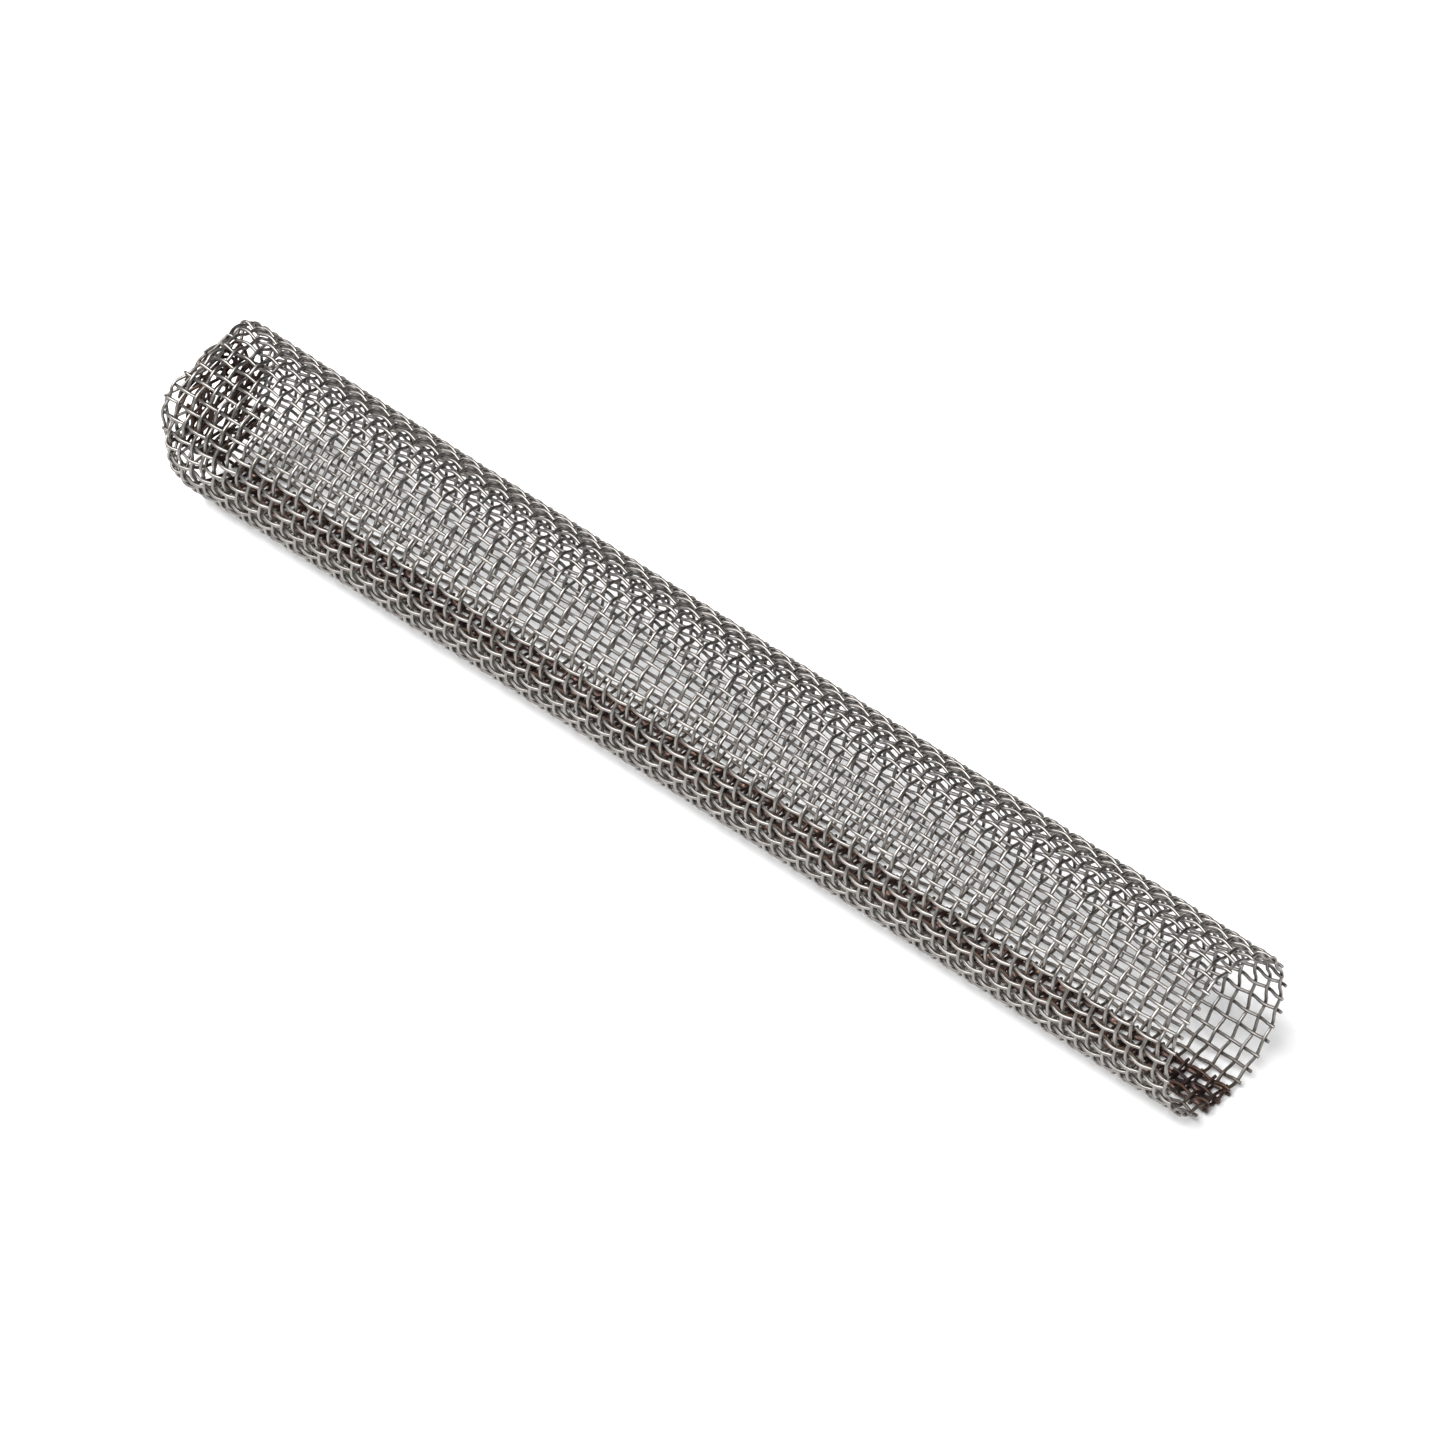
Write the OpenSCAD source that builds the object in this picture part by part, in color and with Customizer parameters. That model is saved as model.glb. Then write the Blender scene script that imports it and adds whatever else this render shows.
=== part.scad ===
// Strainer tube of plain-woven wire cloth: rolled round, lapped and spot-welded
// along the bottom, cut square at the mouth and folded shut at the other end.
// The tube lies along X on the plane z = 0, with its mouth towards +X.

/* [Cloth] */
// Diameter of every wire
wire_d = 0.35; // [0.2:0.01:0.42]
// Spacing of the lengthwise wires, centre to centre round the tube
warp_pitch = 1.5875; // [1.3:0.0125:2.1]
// Spacing of the wires that go round, centre to centre along the tube
weft_pitch = 1.5875; // [1.3:0.0125:2.1]

/* [Tube] */
// Outside diameter, over the lengthwise wires
tube_d = 17.5; // [14:0.02:21]
// Length, from the folded end to the cut ends at the mouth
tube_len = 133.6; // [60:0.2:180]
// Cut ends of the lengthwise wires beyond the last wire that goes round
mouth_stub = 0.5; // [0.2:0.1:1]

/* [Seam] */
// Lengthwise wires in the inner layer of the lap
lapped_wires = 3; // [1:1:3]
// Lengthwise wires from the bottom back to the outer cut edge
edge_back = 2; // [1:1:3]
// Cut ends of the round-going wires beyond the edge wire they cross
edge_stub = 0.4; // [0.3:0.1:0.6]
// Radius of the two bends that step the inner layer down, at the wire's centre
step_r = 1.6; // [1.2:0.1:2]
// Round-going wires from one spot weld to the next along a wire
weld_every = 2; // [1:1:20]
// Diameter of a spot weld
weld_d = 0.8; // [0.3:0.05:0.9]

/* [Folded end] */
// Radius of the fold over the rim, at the wire's centre
fold_r = 1.1; // [0.8:0.1:1.6]
// How far the two long flaps reach past the middle of the end
flap_overlap = 2.8; // [1:0.2:3.4]
// Flat length of the two short flaps, past their fold
short_flap = 6.4; // [2:0.2:7]
// Cut ends of the cross wires beyond the outer wires of a flap
flap_stub = 0.5; // [0.2:0.1:0.6]
// Clear space kept between a flap's cut corners and the tube's wall
corner_gap = 0.3; // [0.1:0.1:0.8]

/* [Hidden] */
$fn = 48;

// Centre radius of the lengthwise wires, which lie outside the round-going ones
warp_r = tube_d / 2 - wire_d / 2;
weft_r = warp_r - wire_d;
// The cloth goes round in whole meshes
meshes_round = round(2 * PI * (warp_r - wire_d / 2) / warp_pitch);
warp_step = 360 / meshes_round;
// The lap's inner layer adds its own lengthwise wires
warp_count = meshes_round + lapped_wires;
// Two wires straddle the bottom, so the tube rests on both
axis_z = warp_r * cos(warp_step / 2) + wire_d / 2;

mouth_x = tube_len / 2;
end_x = -tube_len / 2;

// Four flaps, each a quarter of the wires; layer 0 is the outermost
FLAPS = ["lower_back", "upper_back", "upper_front", "lower_front"];
FLAP_LAYER = [2, 0, 1, 3];
FLAP_IS_LONG = [true, false, true, false];
layer_t = 2 * wire_d;
deepest_fold_x = end_x + wire_d / 2 + max(FLAP_LAYER) * layer_t + fold_r;

// Round-going wires stand from the mouth back to the start of the deepest fold
first_weft_x = mouth_x - mouth_stub;
weft_count = floor((first_weft_x - deepest_fold_x) / weft_pitch) + 1;
last_weft_x = first_weft_x - (weft_count - 1) * weft_pitch;

// Lengthwise wires get a node each, or share one when a wide tube has many
warp_nodes_max = 36;
warp_per_node = ceil(warp_count / warp_nodes_max);
warp_nodes = ceil(warp_count / warp_per_node);
weft_nodes = 12;

// The cloth starts at its outer cut edge, goes round, and steps down two wires
// through a bend in and a bend back, to lie inside its own start
tail_r = weft_r - 2 * wire_d;
lapped_r = weft_r - wire_d;
bend_in_y = weft_r - step_r;
bend_back_y = tail_r + step_r;
step_span = acos((pow(bend_in_y, 2) + pow(bend_back_y, 2) - pow(2 * step_r, 2)) / (2 * bend_in_y * bend_back_y));
bend_in_turn = atan2(bend_back_y * sin(step_span), bend_back_y * cos(step_span) - bend_in_y);
edge_angle = (0.5 - edge_back) * warp_step;
stub_turn = edge_stub / weft_r * 180 / PI;
edge_start = edge_angle - stub_turn;
tail_lead = 0.2 * warp_step;
tail_start = 360 + edge_angle - tail_lead - step_span;
tail_turn = tail_lead + (lapped_wires - 1) * warp_step + edge_stub / tail_r * 180 / PI;

function two_digits(n) = n < 10 ? str("0", n) : str(n);
function warp_name(n) = str("warp_wire_", two_digits(n + 1));
function weft_name(n) = str("weft_wires_", two_digits(n + 1));
function fold_name(f) = str("end_flap_", FLAPS[f], "_warp");
function cross_name(f) = str("end_flap_", FLAPS[f], "_weft");

// Angles go round from the bottom of the tube, first towards +Y
function warp_angle(i) = (i + 0.5) * warp_step;
// A lapped wire lies under the outer wire in this place
function seat_of(i) = i < meshes_round ? i : (i - edge_back) % meshes_round;
function first_wire(f) = floor(f * meshes_round / 4);
function last_wire(f) = floor((f + 1) * meshes_round / 4) - 1;
function flap_of(i) = [for (f = [0 : 3]) if (i >= first_wire(f) && i <= last_wire(f)) f][0];
function flap_angle(f) = (warp_angle(first_wire(f)) + warp_angle(last_wire(f))) / 2;
// Plane of a flap's lengthwise wires, and where their fold begins
function flap_x(f) = end_x + wire_d / 2 + FLAP_LAYER[f] * layer_t;
function fold_x(f) = flap_x(f) + fold_r;
function flat_len(f) = FLAP_IS_LONG[f] ? warp_r - fold_r + flap_overlap : short_flap;
fold_arc = PI / 2 * fold_r;
// A cross wire moved past the middle is cut short of the far wall of the tube
corner_r = weft_r - wire_d - corner_gap;
function wall_angle(drop) = acos(min(1, (pow(warp_r, 2) + pow(drop, 2) - pow(corner_r, 2)) / (2 * warp_r * drop)));

// Centres its children on the tube's axis and turns them round it
module round_tube(angle) {
    translate([0, 0, axis_z]) rotate([angle, 0, 0]) children();
}

// A wire bent to an arc about the tube's axis, starting at an angle from the bottom
module round_wire(r, from, turn) {
    rotate([0, 90, 0]) rotate([0, 0, from])
        rotate_extrude(angle = turn) translate([r, 0]) circle(d = wire_d);
}

module lengthwise_wire(i) {
    lapped = i >= meshes_round;
    seat = seat_of(i);
    start_x = fold_x(flap_of(seat)) + (lapped ? wire_d : 0);
    round_tube(warp_angle(seat))
        translate([start_x, 0, lapped ? -lapped_r : -warp_r]) rotate([0, 90, 0])
            cylinder(h = mouth_x - start_x, d = wire_d);
}

module warp_wire(n) {
    color("silver")
        for (i = [n * warp_per_node : min((n + 1) * warp_per_node, warp_count) - 1])
            lengthwise_wire(i);
}

module weft_wires(n) {
    first = floor(n * weft_count / weft_nodes);
    last = floor((n + 1) * weft_count / weft_nodes) - 1;
    color("lightgray") round_tube(0)
        for (k = [first : last]) translate([first_weft_x - k * weft_pitch, 0, 0])
            round_wire(weft_r, edge_start, tail_start - edge_start);
}

// Puts its children on every round-going wire, at the start of its inner end
module each_inner_end() {
    color("lightgray") round_tube(tail_start)
        for (k = [0 : weft_count - 1]) translate([first_weft_x - k * weft_pitch, 0, 0]) children();
}

// First part of the step down: the wire bends in off the circle
module seam_weft_bends_in() {
    each_inner_end() translate([0, 0, -bend_in_y]) round_wire(step_r, 0, bend_in_turn);
}

// Second part of the step down: it bends back to run level again
module seam_weft_bends_back() {
    each_inner_end() rotate([step_span, 0, 0]) translate([0, 0, -bend_back_y])
        round_wire(step_r, 180, bend_in_turn - step_span);
}

// The inner ends of the round-going wires, level under the lap
module seam_weft_tails() {
    each_inner_end() round_wire(tail_r, step_span, tail_turn);
}

// The end of one lengthwise wire, folded over the rim and laid across the end
module folded_wire(f, i) {
    side = warp_angle(i) - flap_angle(f);
    translate([0, warp_r * sin(side), fold_r - warp_r * cos(side)]) {
        translate([fold_x(f), 0, 0]) rotate([90, 0, 0]) rotate([0, 0, 180])
            rotate_extrude(angle = 90) translate([fold_r, 0]) circle(d = wire_d);
        translate([flap_x(f), 0, 0]) cylinder(h = flat_len(f), d = wire_d);
    }
}

module flap_warp(f) {
    color("silver") round_tube(flap_angle(f))
        for (i = [first_wire(f) : last_wire(f)]) folded_wire(f, i);
}

// A cross wire that lies inside a flap, at a distance along the cloth from the
// last wire that goes right round the tube
module flap_cross_wire(f, along) {
    past_fold = along - (last_weft_x - fold_x(f));
    turn = min(90, max(0, past_fold / fold_r * 180 / PI));
    flat = max(0, past_fold - fold_arc);
    ahead = min(0, past_fold);
    drop = fold_r * (1 - cos(turn)) + flat + wire_d * cos(turn);
    flap_half = flap_angle(f) - warp_angle(first_wire(f)) + flap_stub / warp_r * 180 / PI;
    half_span = drop > warp_r ? min(flap_half, wall_angle(drop)) : flap_half;
    translate([fold_x(f) - fold_r * sin(turn) + wire_d * sin(turn) - ahead, 0, drop])
        round_wire(warp_r, -half_span, 2 * half_span);
}

module flap_weft(f) {
    room = last_weft_x - fold_x(f) + fold_arc + flat_len(f);
    color("lightgray") round_tube(flap_angle(f))
        for (along = [weft_pitch : weft_pitch : room - mouth_stub / 2]) flap_cross_wire(f, along);
}

// Nuggets between the lapped lengthwise wires and the outer ones, turn about
module seam_spot_welds() {
    color("gray") for (i = [0 : lapped_wires - 1])
        round_tube(edge_angle + i * warp_step)
            for (k = [i % weld_every : weld_every : weft_count - 2])
                translate([first_weft_x - k * weft_pitch - (wire_d + weld_d) / 2, 0, -weft_r - wire_d / 2])
                    cylinder(h = wire_d, d = weld_d);
}

for (n = [0 : warp_nodes - 1]) warp_wire(n);
for (n = [0 : weft_nodes - 1]) weft_wires(n);
for (f = [0 : 3]) flap_warp(f);
for (f = [0 : 3]) flap_weft(f);
seam_weft_bends_in();
seam_weft_bends_back();
seam_weft_tails();
seam_spot_welds();
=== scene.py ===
"""Looks of a woven wire finger strainer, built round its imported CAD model.

The strainer is one piece of plain-woven stainless wire cloth, rolled to a tube, lapped and
spot-welded along the bottom, and folded shut at one end with four flaps. Every CAD node is a
straight or round wire; here each becomes the crimped wire of the real cloth, in the same place.
Lengths are metres, angles are radians unless a name says degrees, and angles round the tube are
counted from the bottom, first towards +Y.
"""

import logging
import math
from dataclasses import dataclass, field
from enum import Enum

import bpy
import numpy as np
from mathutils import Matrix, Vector


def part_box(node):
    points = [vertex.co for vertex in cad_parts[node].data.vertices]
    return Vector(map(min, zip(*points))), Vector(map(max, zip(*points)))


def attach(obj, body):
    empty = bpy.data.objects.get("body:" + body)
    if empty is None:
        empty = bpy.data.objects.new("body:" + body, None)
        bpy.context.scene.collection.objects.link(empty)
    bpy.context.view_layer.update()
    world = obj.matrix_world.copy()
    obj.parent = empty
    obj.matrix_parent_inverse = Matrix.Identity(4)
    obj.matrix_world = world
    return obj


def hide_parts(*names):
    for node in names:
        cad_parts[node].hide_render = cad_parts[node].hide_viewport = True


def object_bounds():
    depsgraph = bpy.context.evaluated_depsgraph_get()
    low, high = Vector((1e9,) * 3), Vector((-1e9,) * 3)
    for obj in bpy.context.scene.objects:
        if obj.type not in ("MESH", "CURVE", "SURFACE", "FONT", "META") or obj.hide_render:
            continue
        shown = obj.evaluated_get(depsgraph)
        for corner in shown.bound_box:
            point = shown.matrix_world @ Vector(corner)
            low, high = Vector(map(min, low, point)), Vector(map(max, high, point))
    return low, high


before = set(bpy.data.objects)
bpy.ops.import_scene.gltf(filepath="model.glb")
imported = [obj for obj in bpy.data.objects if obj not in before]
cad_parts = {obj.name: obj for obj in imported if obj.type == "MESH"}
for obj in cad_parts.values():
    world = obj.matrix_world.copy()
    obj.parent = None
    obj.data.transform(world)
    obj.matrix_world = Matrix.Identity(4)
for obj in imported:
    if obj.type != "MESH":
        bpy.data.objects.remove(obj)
CAD_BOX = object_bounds()

LOG = logging.getLogger("strainer")
MM = 0.001
BODY = "root"
BAKE_MAP = "OFBake"
Array = np.ndarray
Colour = tuple[float, float, float, float]

# Pitch of 16-mesh wire cloth
CLOTH_PITCH = 25.4 * MM / 16
# Cut ends of the lengthwise wires beyond the last cross wire of a flap
FLAP_STUB = 0.35 * MM
# Width of one row of the bake map, in girths of the wire
ROW_ROOM = 1.2


class Slot(Enum):
    """The record's material slots."""

    WARP = "warp_wire"
    WEFT = "weft_wire"
    WELD = "spot_weld"


class Layer(Enum):
    """Which family of wires a strand belongs to, as the sign of its first crossing."""

    WARP = 1
    WEFT = -1


def smooth_step(value: Array) -> Array:
    """Returns value eased from 0 to 1, and held outside that range."""
    held = np.clip(value, 0.0, 1.0)
    return held * held * (3.0 - 2.0 * held)


def unit(vectors: Array) -> Array:
    """Returns each row scaled to length 1."""
    return vectors / np.linalg.norm(vectors, axis=1, keepdims=True)


def around(angle: Array) -> Array:
    """Returns the outward direction at each angle round the tube, as rows of X, Y, Z."""
    return np.stack([np.zeros_like(angle), np.sin(angle), -np.cos(angle)], axis=1)


# --------------------------------------------------------------------------- sizes of the cloth


@dataclass(frozen=True)
class ClothSizes:
    """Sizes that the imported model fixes."""

    wire_d: float
    warp_r: float
    axis_z: float
    mouth_x: float
    end_x: float
    meshes_round: int
    lapped_wires: int
    edge_back: int
    first_weft: float
    weft_pitch: float
    weft_count: int
    step_start: float
    step_middle: float
    step_end: float
    tail_end: float

    @property
    def mean_r(self) -> float:
        """Radius of the cloth's middle surface."""
        return self.warp_r - self.wire_d / 2

    @property
    def warp_step(self) -> float:
        """Angle from one lengthwise wire to the next."""
        return 2 * math.pi / self.meshes_round

    @classmethod
    def from_frame(cls) -> "ClothSizes":
        """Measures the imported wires.

        Returns:
            The sizes of the tube and its cloth.
        """
        names = sorted(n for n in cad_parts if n.startswith(Slot.WARP.value))
        boxes = [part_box(name) for name in names]
        low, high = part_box("weft_wires_01")
        weft_r = max(high.y, -low.y)
        top = max(boxes, key=lambda box: box[1].z)
        wire_d = top[1].y - top[0].y
        warp_r = weft_r - wire_d / 2 + wire_d
        axis_z = top[1].z - wire_d / 2 - warp_r
        middles = [((a.y + b.y) / 2, (a.z + b.z) / 2 - axis_z) for a, b in boxes]
        inner = [math.atan2(y, -z) for y, z in middles if math.hypot(y, z) < warp_r - wire_d]
        lapped = len(inner)
        step = 2 * math.pi / (len(names) - lapped)
        edges = [
            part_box("seam_weft_bends_in")[0].y / (warp_r - wire_d),
            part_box("seam_weft_bends_back")[0].y / (warp_r - 2 * wire_d),
            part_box("seam_weft_tails")[0].y / (warp_r - 3 * wire_d),
            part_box("seam_weft_tails")[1].y / (warp_r - 3 * wire_d),
        ]
        turns = [2 * math.pi + math.asin(edge) for edge in edges]
        last = min(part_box(n)[0].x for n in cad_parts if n.startswith("weft_wires"))
        first_x, last_x = high.x - wire_d / 2, last + wire_d / 2
        count = round((first_x - last_x) / CLOTH_PITCH) + 1
        return cls(
            wire_d=wire_d,
            warp_r=warp_r,
            axis_z=axis_z,
            mouth_x=CAD_BOX[1].x,
            end_x=CAD_BOX[0].x,
            meshes_round=len(names) - lapped,
            lapped_wires=lapped,
            edge_back=round(0.5 - min(inner) / step),
            first_weft=CAD_BOX[1].x - first_x,
            weft_pitch=(first_x - last_x) / (count - 1),
            weft_count=count,
            step_start=turns[0],
            step_middle=turns[1],
            step_end=turns[2],
            tail_end=turns[3],
        )

    @property
    def columns(self) -> range:
        """Lengthwise wires in the order that a cross wire meets them, the lapped ones last."""
        return range(-self.edge_back, self.meshes_round + self.lapped_wires - self.edge_back)

    def column_at(self, seat: int) -> int:
        """Returns the outer lengthwise wire in a place counted from the bottom."""
        return seat if seat < self.meshes_round - self.edge_back else seat - self.meshes_round

    def is_lapped(self, column: int) -> bool:
        """Returns whether a lengthwise wire lies in the inner layer of the lap."""
        return column >= self.meshes_round - self.edge_back

    def warp_node(self, column: int) -> str:
        """Returns the CAD node of one lengthwise wire."""
        number = column + self.edge_back if self.is_lapped(column) else column % self.meshes_round
        return f"{Slot.WARP.value}_{number + 1:02d}"


# --------------------------------------------------------------------------- shape of the tube


@dataclass(frozen=True)
class Swell:
    """A bump or dent round the tube: its middle in degrees, its height and its width in degrees."""

    middle: float
    height: float
    width: float

    def at(self, angle: Array) -> Array:
        """Returns the height at each angle."""
        turn = np.degrees(np.asarray(angle)) - self.middle
        away = (turn + 180.0) % 360.0 - 180.0
        return self.height * np.exp(-0.5 * (away / self.width) ** 2)


@dataclass(frozen=True)
class Flap:
    """One folded quarter of the end.

    Attributes:
        name: Word that its CAD nodes carry.
        layer: Its place in the stack; 0 is outermost.
        reach: Its flat length past the fold.
    """

    name: str
    layer: int
    reach: float


FLAPS = (
    Flap("lower_back", 2, 10.2 * MM),
    Flap("upper_back", 0, 6.4 * MM),
    Flap("upper_front", 1, 10.2 * MM),
    Flap("lower_front", 3, 6.4 * MM),
)


@dataclass
class TubeShape:
    """Middle surface of the cloth, from the mouth over the rim and across the end.

    A place on the cloth is run, the distance along it from the mouth, and an angle round it.

    Attributes:
        sizes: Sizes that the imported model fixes.
        long_axis: Angle at which the tube is widest and its rim stands furthest out.
        inset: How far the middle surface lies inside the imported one, to keep the oval in its box.
        end_oval: Radius that the folded end gains along the long axis and loses across it.
        oval_reach: Distance over which that fades towards the mouth.
        waist: Radius that the tube loses where it is narrowest.
        waist_x: Where the tube is narrowest.
        outer_layer: Place of the outermost layer of cloth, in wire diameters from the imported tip.
        rim_set: Distance from the outermost layer to the rim.
        rim_tilt: Half the slant of the rim.
        rim_swells: Dents and bumps of the rim, along the tube.
        flap_set: Distance from the outermost layer to the first flap.
        tight_bend: Bend radius over the rim at the long axis.
        slack_bend: Bend radius over the rim on the other side.
        settle_length: Length over which a flap comes to lie in its own layer.
    """

    sizes: ClothSizes
    long_axis: float = math.radians(132)
    inset: float = 0.062 * MM
    end_oval: float = 0.36 * MM
    oval_reach: float = 14.0 * MM
    waist: float = 0.10 * MM
    waist_x: float = 8.0 * MM
    outer_layer: float = 1.05
    rim_set: float = 1.12 * MM
    rim_tilt: float = 0.22 * MM
    rim_swells: tuple[Swell, ...] = (
        Swell(236, -1.25 * MM, 14),
        Swell(186, 1.12 * MM, 13),
        Swell(138, -1.00 * MM, 10),
    )
    flap_set: float = 0.35 * MM
    tight_bend: float = 0.42 * MM
    slack_bend: float = 2.2 * MM
    settle_length: float = 3.0 * MM

    def radius(self, x: Array, angle: Array, lapped: bool) -> Array:
        """Radius of the middle surface.

        Args:
            x: Places along the tube.
            angle: Angles round it.
            lapped: Whether the cloth steps down here to lie inside its own start.

        Returns:
            The radius at each place.
        """
        size = self.sizes
        ahead = x - self.waist_x
        reach = np.where(ahead > 0, size.mouth_x - self.waist_x, self.waist_x - size.end_x)
        narrow = self.waist * (1.0 - smooth_step(np.abs(ahead) / reach))
        near_end = np.exp(-np.maximum(x - size.end_x, 0.0) / self.oval_reach)
        oval = self.end_oval * near_end * np.cos(2 * (angle - self.long_axis))
        down = smooth_step((angle - size.step_start) / (size.step_end - size.step_start))
        fall = 2 * size.wire_d * down if lapped else 0.0
        return size.mean_r - self.inset - narrow + oval - fall

    def rim_plane(self, angle: Array) -> Array:
        """Returns x of the middle surface where it turns square across the end, just past the bend."""
        tilt = self.rim_tilt * (1.0 - np.cos(angle - self.long_axis))
        swells = sum(swell.at(angle) for swell in self.rim_swells)
        tip = self.sizes.end_x + self.sizes.wire_d * self.outer_layer
        return tip + self.rim_set + tilt + swells

    def bend(self, angle: Array) -> Array:
        """Returns the bend radius over the rim at each angle."""
        slack = 0.5 - 0.5 * np.cos(angle - self.long_axis)
        return self.tight_bend + (self.slack_bend - self.tight_bend) * slack ** 2

    def flap_middle(self, number: int) -> float:
        """Returns the angle of a flap's middle."""
        size = self.sizes
        first, last = self.flap_wires(number)
        return (first + last + 1) / 2 * size.warp_step

    def flap_wires(self, number: int) -> tuple[int, int]:
        """Returns a flap's first and last lengthwise wire."""
        count = self.sizes.meshes_round
        return number * count // 4, (number + 1) * count // 4 - 1

    def bend_start(self, angle: Array) -> Array:
        """Returns the run at which the cloth begins to bend over the rim."""
        return self.sizes.mouth_x - self.rim_plane(angle) - self.bend(angle)

    def place(self, run: Array, angle: Array, flap: int, lapped: bool = False) -> tuple[Array, Array]:
        """Finds places on the middle surface.

        Args:
            run: Distances along the cloth from the mouth.
            angle: Angles round the tube.
            flap: Number of the flap that the cloth belongs to past the rim.
            lapped: Whether the cloth steps down here to lie inside its own start.

        Returns:
            The places and the outward directions there, one row each.
        """
        size = self.sizes
        curve = self.bend(angle)
        start = self.bend_start(angle)
        turn = np.clip((run - start) / curve, 0.0, math.pi / 2)
        flat = np.maximum(run - start - curve * math.pi / 2, 0.0)
        x = size.mouth_x - np.minimum(run, start)
        out = around(angle)
        across = around(np.full_like(angle, self.flap_middle(flap)))
        back = np.array([[-1.0, 0.0, 0.0]])
        spot = out * self.radius(x, angle, lapped)[:, None]
        spot[:, 0] += x
        spot += back * (curve * np.sin(turn))[:, None]
        spot -= across * (curve * (1.0 - np.cos(turn)) + flat)[:, None]
        plane = size.end_x + size.wire_d * (self.outer_layer + 2 * FLAPS[flap].layer) + self.flap_set
        spot[:, 0] += smooth_step(flat / self.settle_length) * (plane - self.rim_plane(angle))
        spot[:, 2] += size.axis_z
        share = (np.sin(turn) ** 2)[:, None]
        side = unit(out * (1.0 - share) + across * share)
        lean = side * np.cos(turn)[:, None] + back * np.sin(turn)[:, None]
        return spot, unit(lean)


# --------------------------------------------------------------------------- the weave


@dataclass
class Weave:
    """Where the two families of wires cross, with the small unevenness of real cloth.

    Attributes:
        sizes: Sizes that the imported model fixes.
        tube: Shape of the cloth.
        seed: Seed of the wires' own offsets.
        warp_sway: How far a lengthwise wire wanders along its run.
        weft_sway: How far a cross wire wanders as it goes round.
        long_wave: Length that sets the slower part of a lengthwise wire's wandering.
        short_wave: Length that sets the quicker part.
        warp_set: Spread of the lengthwise wires' own offsets.
        weft_set: Spread of the cross wires' own offsets.
        flap_rows: Cross wires in each flap.
        warp_offsets: Each lengthwise wire's own offset.
        weft_offsets: Each cross wire's own offset.
    """

    sizes: ClothSizes
    tube: TubeShape
    seed: int = 11
    warp_sway: float = 0.075 * MM
    weft_sway: float = 0.085 * MM
    long_wave: float = 11.0 * MM
    short_wave: float = 4.3 * MM
    warp_set: float = 0.030 * MM
    weft_set: float = 0.045 * MM
    flap_rows: tuple[int, ...] = field(init=False)
    warp_offsets: Array = field(init=False)
    weft_offsets: Array = field(init=False)

    def __post_init__(self) -> None:
        """Draws each wire's own offset and counts the rows that lie in the flaps."""
        draw = np.random.RandomState(self.seed)
        self.warp_offsets = draw.normal(0.0, self.warp_set, 64)
        self.weft_offsets = draw.normal(0.0, self.weft_set, 160)
        self.flap_rows = tuple(self.rows_in_flap(number) for number in range(len(FLAPS)))

    def flap_end(self, number: int) -> float:
        """Returns the run at which a flap's lengthwise wires are cut."""
        tube = self.tube
        middle = np.array([tube.flap_middle(number)])
        start = tube.bend_start(middle)[0] + tube.bend(middle)[0] * math.pi / 2
        return start + FLAPS[number].reach

    def rows_in_flap(self, number: int) -> int:
        """Returns how many cross wires a flap holds past the last round-going wire."""
        last = self.row_run(self.sizes.weft_count - 1)
        return int((self.flap_end(number) - FLAP_STUB - last) / self.sizes.weft_pitch)

    def row_run(self, row: Array) -> Array:
        """Returns the even run of each cross wire, counted from the mouth."""
        return self.sizes.first_weft + np.asarray(row) * self.sizes.weft_pitch

    def column_angle(self, column: Array) -> Array:
        """Returns the even angle of each lengthwise wire."""
        return (np.asarray(column) + 0.5) * self.sizes.warp_step

    def warp_angle(self, column: int, run: Array) -> Array:
        """Returns the angle of one lengthwise wire along its run."""
        size, own = self.sizes, self.warp_offsets[column]
        held = np.minimum(run, self.row_run(size.weft_count - 1))
        slow = np.sin(held / self.long_wave + 0.55 * column)
        quick = np.sin(held / self.short_wave - 0.9 * column + 1.3)
        wave = slow + 0.7 * quick
        return self.column_angle(column) + (own + self.warp_sway * 0.5 * wave) / size.mean_r

    def weft_run(self, row: int, angle: Array) -> Array:
        """Returns the run of one cross wire as it goes round."""
        wave = np.sin(2 * angle + 0.31 * row) + 0.6 * np.sin(5 * angle - 0.53 * row + 0.8)
        own = self.weft_offsets[row]
        return self.row_run(row) + own + self.weft_sway * 0.5 * wave

    def warp_lift(self, column: int, run: Array) -> tuple[Array, Array]:
        """Finds how one lengthwise wire rides over and under the cross wires.

        Args:
            column: Number of the wire.
            run: Places along it.

        Returns:
            The lift in wire radii, and the closeness to a crossing from 0 to 1.
        """
        rows = np.arange(-1, self.sizes.weft_count + max(self.flap_rows) + 2)
        angle = self.column_angle(column)
        marks = np.array([self.weft_run(row, angle) for row in rows])
        phase = np.interp(run, marks, rows)
        return crimp(phase, column, Layer.WARP)

    def weft_lift(self, row: int, angle: Array) -> tuple[Array, Array]:
        """Finds how one cross wire rides under and over the lengthwise wires.

        Args:
            row: Number of the wire.
            angle: Angles round the tube.

        Returns:
            The lift in wire radii, and the closeness to a crossing from 0 to 1.
        """
        size = self.sizes
        if row < size.weft_count:
            columns = np.arange(size.columns[0] - 1, size.columns[-1] + 2)
            phases = columns
            turn = np.zeros(len(columns))
        else:
            seats = np.arange(size.meshes_round)
            columns = np.array([size.column_at(seat) for seat in seats])
            phases = seats - np.where(columns < 0, size.meshes_round % 2, 0)
            turn = np.where(columns < 0, 2 * math.pi, 0.0)
        marks = np.array([float(self.warp_angle(c, self.row_run(row))) for c in columns]) + turn
        phase = np.interp(angle, marks, phases)
        return crimp(phase, row, Layer.WEFT)


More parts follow.
